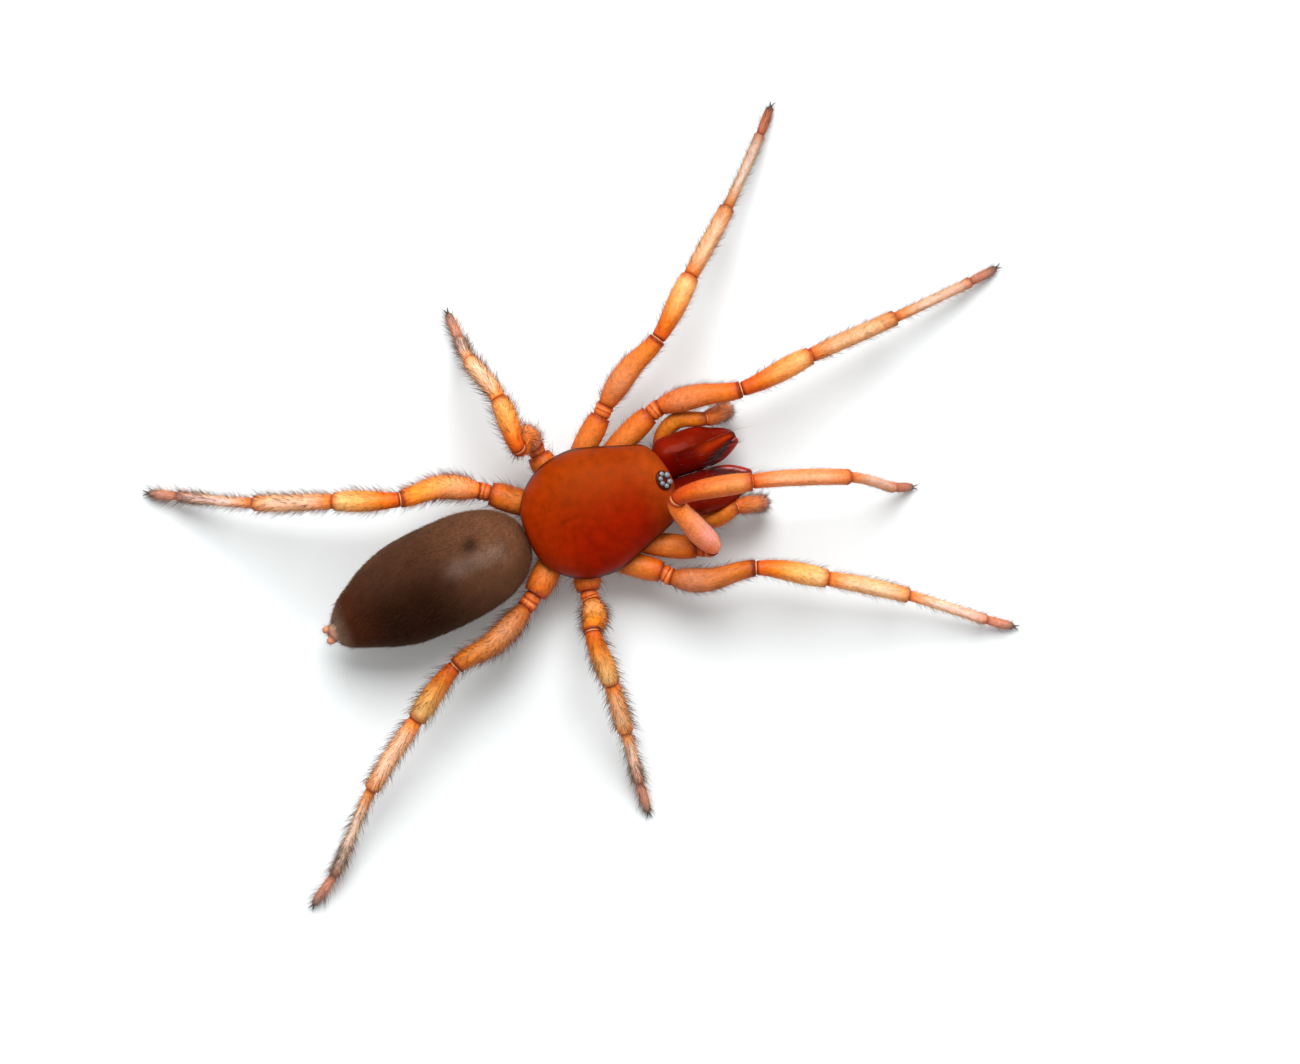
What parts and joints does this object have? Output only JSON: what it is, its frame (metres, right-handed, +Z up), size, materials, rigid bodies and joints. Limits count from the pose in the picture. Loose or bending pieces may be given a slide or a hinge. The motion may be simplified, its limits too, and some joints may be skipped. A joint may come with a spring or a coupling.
{
  "type": "woodlouse spider",
  "caption": "Life-size still model of a woodlouse spider standing with legs spread, red-orange shell, long folded fangs, pale orange legs and an oval brown abdomen.",
  "frame": {"origin": "on the floor under the middle of the box round the whole spider, feet on z = 0", "axes": "+X the way the spider faces, +Y to its left, +Z up"},
  "size_m": [0.0332, 0.023, 0.0049],
  "materials": {
    "carapace": "glossy deep red-orange shell, fine grained",
    "abdomen": "velvety taupe-brown skin with short fine hairs",
    "spinnerets": "soft pinkish orange",
    "eyes": "glossy pearly lenses on black",
    "underside": "smooth orange-brown shell",
    "jaws": "glossy dark mahogany red",
    "fangs": "glossy dark red-black",
    "hips": "smooth orange-brown, slightly glossy",
    "legs": "pale orange, deeper at the joints, finely haired",
    "feet": "pinkish orange turning grey-brown at the tip"
  },
  "bodies": {
    "root": {"carapace": "carapace", "abdomen": "abdomen", "spinnerets": "spinnerets", "eyes": "eyes", "sternum": "underside", "labium": "underside", "pedicel": "underside", "left_chelicera": "jaws", "left_fang": "fangs", "left_maxilla": "underside", "left_palp_femur": "hips", "left_palp_tibia": "legs", "left_palp_tarsus": "feet", "right_chelicera": "jaws", "right_fang": "fangs", "right_maxilla": "underside", "right_palp_femur": "hips", "right_palp_tibia": "legs", "right_palp_tarsus": "feet", "left_leg_1_coxa": "hips", "left_leg_1_femur": "legs", "left_leg_1_patella": "legs", "left_leg_1_tibia": "legs", "left_leg_1_foot": "feet", "left_leg_2_coxa": "hips", "left_leg_2_femur": "legs", "left_leg_2_patella": "legs", "left_leg_2_tibia": "legs", "left_leg_2_foot": "feet", "left_leg_3_coxa": "hips", "left_leg_3_femur": "legs", "left_leg_3_patella": "legs", "left_leg_3_tibia": "legs", "left_leg_3_foot": "feet", "left_leg_4_coxa": "hips", "left_leg_4_femur": "legs", "left_leg_4_patella": "legs", "left_leg_4_tibia": "legs", "left_leg_4_foot": "feet", "right_leg_1_coxa": "hips", "right_leg_1_femur": "legs", "right_leg_1_patella": "legs", "right_leg_1_tibia": "legs", "right_leg_1_foot": "feet", "right_leg_2_coxa": "hips", "right_leg_2_femur": "legs", "right_leg_2_patella": "legs", "right_leg_2_tibia": "legs", "right_leg_2_foot": "feet", "right_leg_3_coxa": "hips", "right_leg_3_femur": "legs", "right_leg_3_patella": "legs", "right_leg_3_tibia": "legs", "right_leg_3_foot": "feet", "right_leg_4_coxa": "hips", "right_leg_4_femur": "legs", "right_leg_4_patella": "legs", "right_leg_4_tibia": "legs", "right_leg_4_foot": "feet"}
  },
  "joints": []
}
